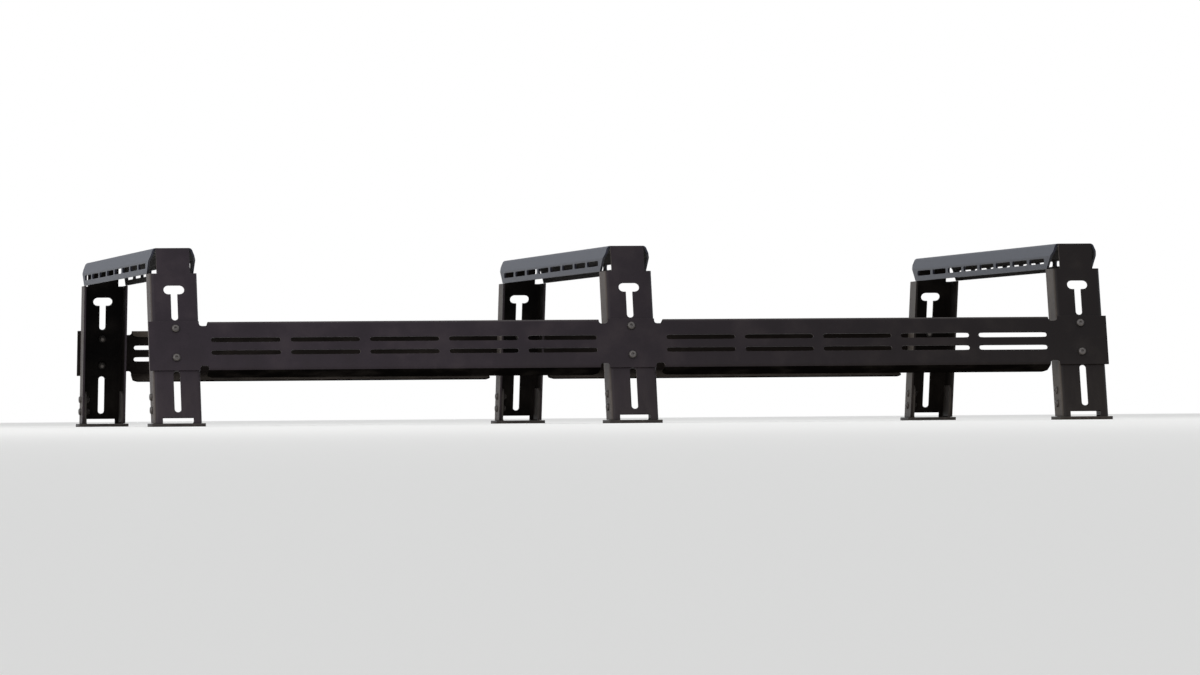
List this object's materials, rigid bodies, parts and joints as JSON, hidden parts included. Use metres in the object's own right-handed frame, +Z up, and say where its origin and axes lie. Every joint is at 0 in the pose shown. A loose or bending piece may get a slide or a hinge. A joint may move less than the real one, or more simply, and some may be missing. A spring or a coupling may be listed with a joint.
{
  "type": "ladder rack",
  "caption": "Low ladder rack for a pickup bed: leaning sheet-steel hoops with slotted crossbars, joined by slotted side panels, on bolted feet.",
  "frame": {"origin": "middle of the rack on the plane of the bed rails, under the middle crossbar", "axes": "+X along the truck towards the tailgate, +Y to the truck's right side, +Z up"},
  "size_m": [1.768, 1.68, 0.325],
  "materials": {
    "upright_coat": "satin black textured powder coat on folded steel sheet",
    "crossbar_coat": "satin black powder coat on folded steel sheet",
    "panel_coat": "satin black textured powder coat with road dust",
    "foot_coat": "satin black powder coat, dusty at the base",
    "bolt_steel": "dull zinc-plated button-head bolts",
    "nut_steel": "dull zinc-plated hexagon nuts"
  },
  "bodies": {
    "root": {"front_crossbar": "crossbar_coat", "front_left_upright": "upright_coat", "front_left_foot": "foot_coat", "front_left_lower_panel_bolt": "bolt_steel", "front_left_lower_panel_nut": "nut_steel", "front_left_lower_foot_bolt": "bolt_steel", "front_left_upper_panel_bolt": "bolt_steel", "front_left_upper_panel_nut": "nut_steel", "front_left_upper_foot_bolt": "bolt_steel", "front_right_upright": "upright_coat", "front_right_foot": "foot_coat", "front_right_lower_panel_bolt": "bolt_steel", "front_right_lower_panel_nut": "nut_steel", "front_right_lower_foot_bolt": "bolt_steel", "front_right_upper_panel_bolt": "bolt_steel", "front_right_upper_panel_nut": "nut_steel", "front_right_upper_foot_bolt": "bolt_steel", "mid_crossbar": "crossbar_coat", "mid_left_upright": "upright_coat", "mid_left_foot": "foot_coat", "mid_left_lower_panel_bolt": "bolt_steel", "mid_left_lower_panel_nut": "nut_steel", "mid_left_lower_foot_bolt": "bolt_steel", "mid_left_upper_panel_bolt": "bolt_steel", "mid_left_upper_panel_nut": "nut_steel", "mid_left_upper_foot_bolt": "bolt_steel", "mid_right_upright": "upright_coat", "mid_right_foot": "foot_coat", "mid_right_lower_panel_bolt": "bolt_steel", "mid_right_lower_panel_nut": "nut_steel", "mid_right_lower_foot_bolt": "bolt_steel", "mid_right_upper_panel_bolt": "bolt_steel", "mid_right_upper_panel_nut": "nut_steel", "mid_right_upper_foot_bolt": "bolt_steel", "rear_crossbar": "crossbar_coat", "rear_left_upright": "upright_coat", "rear_left_foot": "foot_coat", "rear_left_lower_panel_bolt": "bolt_steel", "rear_left_lower_panel_nut": "nut_steel", "rear_left_lower_foot_bolt": "bolt_steel", "rear_left_upper_panel_bolt": "bolt_steel", "rear_left_upper_panel_nut": "nut_steel", "rear_left_upper_foot_bolt": "bolt_steel", "rear_right_upright": "upright_coat", "rear_right_foot": "foot_coat", "rear_right_lower_panel_bolt": "bolt_steel", "rear_right_lower_panel_nut": "nut_steel", "rear_right_lower_foot_bolt": "bolt_steel", "rear_right_upper_panel_bolt": "bolt_steel", "rear_right_upper_panel_nut": "nut_steel", "rear_right_upper_foot_bolt": "bolt_steel", "left_side_panel": "panel_coat", "right_side_panel": "panel_coat"}
  },
  "joints": []
}
